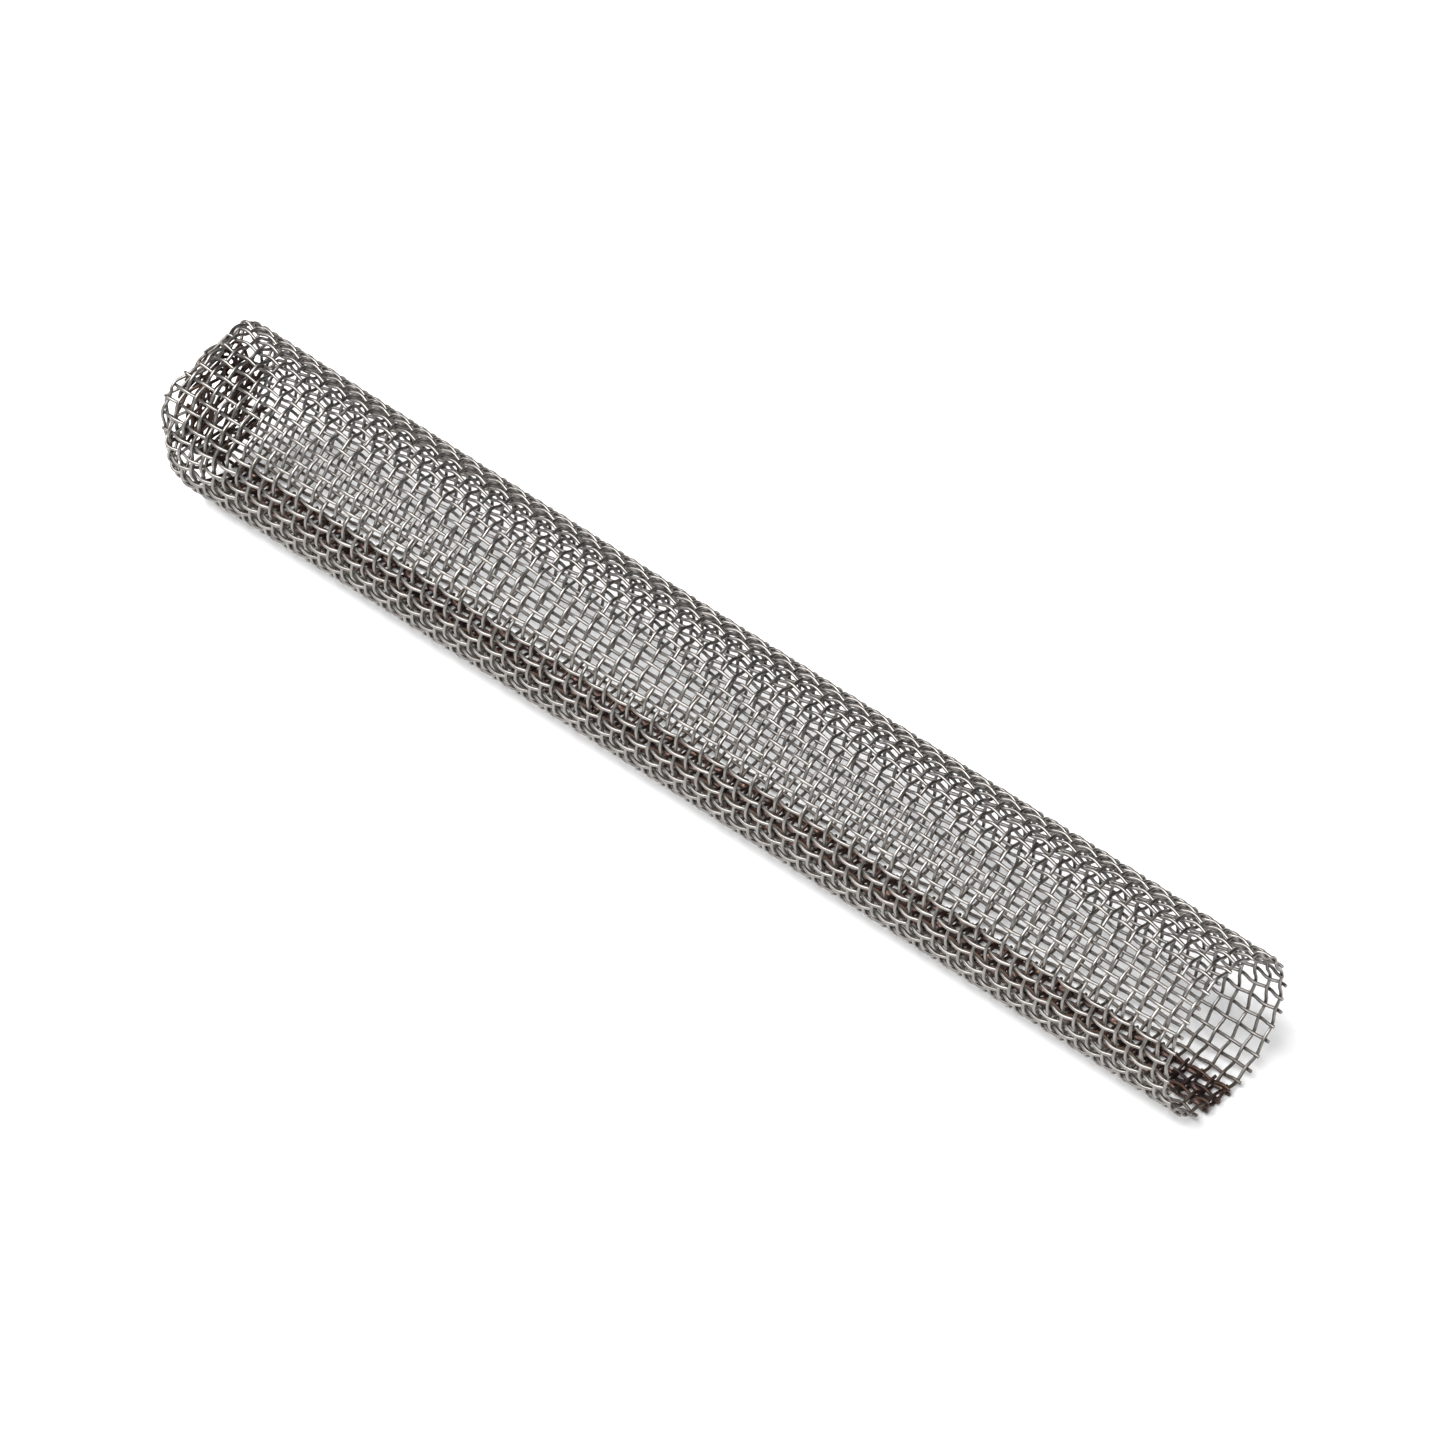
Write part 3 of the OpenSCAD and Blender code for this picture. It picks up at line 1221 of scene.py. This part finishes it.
class TubeWeft(SubAssembly):
    """The cross wires that go right round the tube.

    Attributes:
        stub_least: Least length of an outer cut end past the edge wire, in meshes.
        stub_spread: How much longer one may be, in meshes.
    """

    stub_least: float = 0.24
    stub_spread: float = 0.08

    def build(self) -> list[bpy.types.Object]:
        """Builds one piece for each group of wires that the CAD keeps together."""
        size = self.weave.sizes
        nodes = sorted(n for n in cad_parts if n.startswith("weft_wires"))
        pieces = []
        for number, node in enumerate(nodes):
            first = number * size.weft_count // len(nodes)
            last = (number + 1) * size.weft_count // len(nodes)
            strands = [self.ring(row) for row in range(first, last)]
            bundle = Bundle(size.wire_d, strands=strands)
            pieces.append(self.dress(bundle, f"crimped_{node}", Slot.WEFT, node))
        return pieces

    def ring(self, row: int) -> Strand:
        """Returns one cross wire from its outer cut end to the start of the step down."""
        size = self.weave.sizes
        draw = np.random.RandomState(70 + row)
        stub = (self.stub_least + self.stub_spread * draw.rand()) * size.warp_step
        begin = float(self.weave.column_angle(size.columns[0])) - stub
        return self.weft_strand(row, begin, size.step_start, 0)


class Seam(SubAssembly):
    """The lapped and welded seam along the bottom.

    Attributes:
        weld_every: Cross wires from one weld to the next along a wire.
        nugget: Half sizes of a weld in millimetres: along the tube, round it and through the cloth.
        nugget_least: Smallest share of those sizes.
        nugget_spread: How much above that share a weld may be.
    """

    weld_every: int = 2
    nugget: tuple[float, float, float] = (0.98, 0.56, 0.30)
    nugget_least: float = 0.75
    nugget_spread: float = 0.45

    def build(self) -> list[bpy.types.Object]:
        """Builds the stepped-in wire ends and the weld nuggets."""
        size = self.weave.sizes
        ends = (
            ("seam_weft_bends_in", size.step_start, size.step_middle),
            ("seam_weft_bends_back", size.step_middle, size.step_end),
            ("seam_weft_tails", size.step_end, size.tail_end),
        )
        return [self.inner_ends(*end) for end in ends] + [self.welds()]

    def inner_ends(self, node: str, begin: float, end: float) -> bpy.types.Object:
        """Builds one stretch of every cross wire's inner end.

        Args:
            node: The CAD node that it stands for.
            begin: Angle at its first end.
            end: Angle at its last end.

        Returns:
            The piece.
        """
        size = self.weave.sizes
        strands = [self.weft_strand(row, begin, end, 0, lapped=True) for row in range(size.weft_count)]
        bundle = Bundle(size.wire_d, strands=strands)
        return self.dress(bundle, f"crimped_{node}", Slot.WEFT, node)

    def welds(self) -> bpy.types.Object:
        """Builds the fused, scaly lumps between the two layers of the lap."""
        size, tube = self.weave.sizes, self.weave.tube
        low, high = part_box("seam_spot_welds")
        draw = np.random.RandomState(31)
        lumps = []
        for column in size.columns[: size.lapped_wires]:
            for row in range(column % self.weld_every, size.weft_count - 1, self.weld_every):
                run = np.array([float(self.weave.row_run(row)) + size.weft_pitch / 2])
                if not low.x - MM < size.mouth_x - run[0] < high.x + MM:
                    continue
                angle = np.array([float(self.weave.column_angle(column)) + 0.02 * (draw.rand() - 0.5)])
                spot, out = tube.place(run, angle, 0)
                middle = spot[0] - out[0] * size.wire_d
                share = self.nugget_least + self.nugget_spread * draw.rand(3)
                stretch = np.array(self.nugget) * share * MM
                lumps.append((middle, out[0], stretch, draw.rand()))
        mesh = lump_mesh("weld_nuggets", lumps)
        piece = bpy.data.objects.new("weld_nuggets", mesh)
        bpy.context.scene.collection.objects.link(piece)
        piece.data.materials.append(self.materials[Slot.WELD])
        return settle(piece, "seam_spot_welds")


def lump_mesh(name: str, lumps: list[tuple[Array, Array, Array, float]]) -> bpy.types.Mesh:
    """Joins small uneven lumps into one mesh.

    Args:
        name: Name of the mesh.
        lumps: Each lump's middle, outward direction, half sizes and own number.

    Returns:
        A mesh of closed lumps.
    """
    rings, sides = 9, 14
    rise = np.linspace(0.06, 0.94, rings) * math.pi
    turn = np.arange(sides) / sides * 2 * math.pi
    ball = np.stack(
        [
            (np.sin(rise)[:, None] * np.cos(turn)[None, :]),
            (np.sin(rise)[:, None] * np.sin(turn)[None, :]),
            np.repeat(np.cos(rise)[:, None], sides, axis=1),
        ],
        axis=2,
    ).reshape(-1, 3)
    bundle = Bundle(1.0, sides=sides)
    points, lay, quads, caps = [], [], [], []
    for number, (middle, out, stretch, own) in enumerate(lumps):
        ripple = 1.0 + 0.16 * np.sin(4.1 * ball[:, 0] + 9 * own) * np.sin(5.3 * ball[:, 1] + 5 * own)
        ahead = np.array([1.0, 0.0, 0.0])
        side = np.cross(out, ahead)
        local = ball * ripple[:, None] * stretch
        points.append(middle + local[:, :1] * ahead + local[:, 1:2] * side + local[:, 2:] * out)
        lay.append(local + np.array([own * 0.5, 0.0, 0.0]))
        start = number * rings * sides
        quads.append(bundle.walls(start, rings)[:, ::-1])
        caps.append(bundle.ends(start, rings)[:, ::-1])
    mesh = bpy.data.meshes.new(name)
    build_faces(mesh, np.concatenate(points), np.concatenate(quads), np.concatenate(caps))
    total = len(lumps) * rings * sides
    set_attribute(mesh, "lay", np.concatenate(lay), "FLOAT_VECTOR")
    set_attribute(mesh, "tint", np.full(total, 0.8))
    set_attribute(mesh, "crossing_shade", np.zeros(total))
    set_attribute(mesh, "own", np.full(total, 0.5))
    mesh.shade_smooth()
    return mesh


class FoldedEnd(SubAssembly):
    """The four flaps that close the end.

    Attributes:
        cut_spread: How unevenly the lengthwise wires of a flap are cut.
        stub_least: Least length of a cross wire's cut end past the edge wire, in meshes.
        stub_spread: How much longer one may be, in meshes.
    """

    cut_spread: float = 0.25 * MM
    stub_least: float = 0.25
    stub_spread: float = 0.1

    def build(self) -> list[bpy.types.Object]:
        """Builds each flap's lengthwise wires and cross wires."""
        pieces = []
        for number, flap in enumerate(FLAPS):
            pieces.append(self.flap_warp(number, flap))
            pieces.append(self.flap_weft(number, flap))
        return pieces

    def flap_warp(self, number: int, flap: Flap) -> bpy.types.Object:
        """Builds a flap's lengthwise wires, from the rim to their cut ends."""
        tube = self.weave.tube
        first, last = tube.flap_wires(number)
        draw = np.random.RandomState(40 + number)
        strands = []
        for seat in range(first, last + 1):
            column = self.weave.sizes.column_at(seat)
            begin = float(tube.bend_start(np.array([self.weave.column_angle(column)]))[0])
            end = self.weave.flap_end(number) + self.cut_spread * (draw.rand() - 0.5)
            strands.append(self.warp_strand(column, begin, end, number))
        bundle = Bundle(self.weave.sizes.wire_d, strands=strands)
        node = f"end_flap_{flap.name}_warp"
        return self.dress(bundle, f"folded_{flap.name}_warp", Slot.WARP, node)

    def flap_weft(self, number: int, flap: Flap) -> bpy.types.Object:
        """Builds a flap's cross wires, from the last round-going wire to the cut end."""
        size = self.weave.sizes
        first, last = self.weave.tube.flap_wires(number)
        strands = []
        for extra in range(1, self.weave.flap_rows[number] + 1):
            row = size.weft_count - 1 + extra
            draw = np.random.RandomState(60 + row + 31 * number)
            begin = (first + 0.5 - self.stub_least - self.stub_spread * draw.rand()) * size.warp_step
            end = (last + 0.5 + self.stub_least + self.stub_spread * draw.rand()) * size.warp_step
            strands.append(self.weft_strand(row, begin, end, number))
        bundle = Bundle(size.wire_d, strands=strands)
        node = f"end_flap_{flap.name}_weft"
        return self.dress(bundle, f"folded_{flap.name}_weft", Slot.WEFT, node)


# --------------------------------------------------------------------------- studio


@dataclass
class Studio:
    """Camera, floor and light.

    Attributes:
        sizes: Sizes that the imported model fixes.
        azimuth: Camera angle round the object, in degrees; 0 looks along +Y.
        elevation: Camera angle above the floor, in degrees.
        distance: From the camera to the point that it looks at.
        lens: Focal length in millimetres, for a sensor 36 mm wide.
        aim_right: The aim's shift to the right of the tube's middle.
        aim_up: The aim's shift up in the picture.
        key_place: Where the light hangs.
        key_size: The light's length along the tube and its width.
        key_power: The light's power in watts.
        floor_half: Half the width of the floor.
        surround: Strength of the dim, even surround.
    """

    sizes: ClothSizes
    azimuth: float = 42.46
    elevation: float = 43.48
    distance: float = 824.04 * MM
    lens: float = 212.8
    aim_right: float = 2.416 * MM
    aim_up: float = -1.849 * MM
    key_place: tuple[float, float, float] = (-0.12, -0.33, 0.66)
    key_size: tuple[float, float] = (1.10, 0.42)
    key_power: float = 18.0
    floor_half: float = 1.5
    surround: float = 0.08

    def build(self) -> None:
        """Builds the camera, the floor, the surround and the light."""
        self.camera()
        self.floor()
        self.world()
        self.softbox()
        bpy.context.scene.view_settings.view_transform = "Standard"

    def camera(self) -> None:
        """Places the camera."""
        around_z, up = math.radians(self.azimuth), math.radians(self.elevation)
        level = math.cos(up)
        toward = Vector((-math.sin(around_z) * level, math.cos(around_z) * level, -math.sin(up)))
        right = Vector((math.cos(around_z), math.sin(around_z), 0.0))
        lift = right.cross(toward)
        data = bpy.data.cameras.new("camera")
        data.lens = self.lens
        data.sensor_width = 36.0
        data.clip_start = 0.01
        camera = bpy.data.objects.new("camera", data)
        aim = Vector((0.0, 0.0, self.sizes.axis_z)) + right * self.aim_right + lift * self.aim_up
        camera.location = aim - toward * self.distance
        camera.rotation_euler = toward.to_track_quat("-Z", "Y").to_euler()
        bpy.context.scene.collection.objects.link(camera)
        bpy.context.scene.camera = camera

    def floor(self) -> None:
        """Lays a wide sheet of white paper."""
        half = self.floor_half
        corners = [(-half, -half, 0), (half, -half, 0), (half, half, 0), (-half, half, 0)]
        mesh = bpy.data.meshes.new("paper_floor")
        mesh.from_pydata(corners, [], [(0, 1, 2, 3)])
        sheet = bpy.data.objects.new("paper_floor", mesh)
        mesh.materials.append(PaperFinish().build())
        bpy.context.scene.collection.objects.link(sheet)

    def world(self) -> None:
        """Sets a dim, even surround, which the camera sees as pale."""
        world = bpy.data.worlds.new("surround")
        world.use_nodes = True
        graph = Graph(world.node_tree)
        lit = world.node_tree.nodes["Background"]
        seen = graph.add("ShaderNodeBackground")
        seen.inputs["Color"].default_value = (0.93, 0.93, 0.94, 1.0)
        lit.inputs["Color"].default_value = (1.0, 0.98, 0.95, 1.0)
        lit.inputs["Strength"].default_value = self.surround
        path = graph.add("ShaderNodeLightPath")
        choice = graph.add("ShaderNodeMixShader")
        graph.plug(choice.inputs[0], path.outputs["Is Camera Ray"])
        graph.plug(choice.inputs[1], lit.outputs[0])
        graph.plug(choice.inputs[2], seen.outputs[0])
        graph.plug(world.node_tree.nodes["World Output"].inputs["Surface"], choice.outputs[0])
        bpy.context.scene.world = world

    def softbox(self) -> None:
        """Hangs a long soft light that faces the tube."""
        data = bpy.data.lights.new("key", "AREA")
        data.shape = "RECTANGLE"
        data.size, data.size_y = self.key_size
        data.energy = self.key_power
        light = bpy.data.objects.new("key", data)
        light.location = self.key_place
        light.rotation_euler = (-Vector(self.key_place)).to_track_quat("-Z", "Y").to_euler()
        bpy.context.scene.collection.objects.link(light)


# --------------------------------------------------------------------------- the whole


def main() -> None:
    """Builds the strainer and the studio."""
    logging.basicConfig(level=logging.INFO, format="%(name)s %(message)s")
    sizes = ClothSizes.from_frame()
    LOG.info("%s", sizes)
    effects = SharedEffects.build()
    warp = WireFinish("drawn warp wire", (0.33, 0.313, 0.297, 1), (0.172, 0.162, 0.152, 1))
    weft = WireFinish("drawn weft wire", (0.32, 0.304, 0.288, 1), (0.163, 0.153, 0.143, 1))
    materials = {
        Slot.WARP: warp.build(effects),
        Slot.WEFT: weft.build(effects),
        Slot.WELD: WeldFinish().build(effects),
    }
    weave = Weave(sizes, TubeShape(sizes))
    for maker in (TubeWarp, TubeWeft, Seam, FoldedEnd):
        pieces = maker(weave, materials).build()
        LOG.info("%s: %d pieces", maker.__name__, len(pieces))
    Studio(sizes).build()


if __name__ == "__main__":
    main()
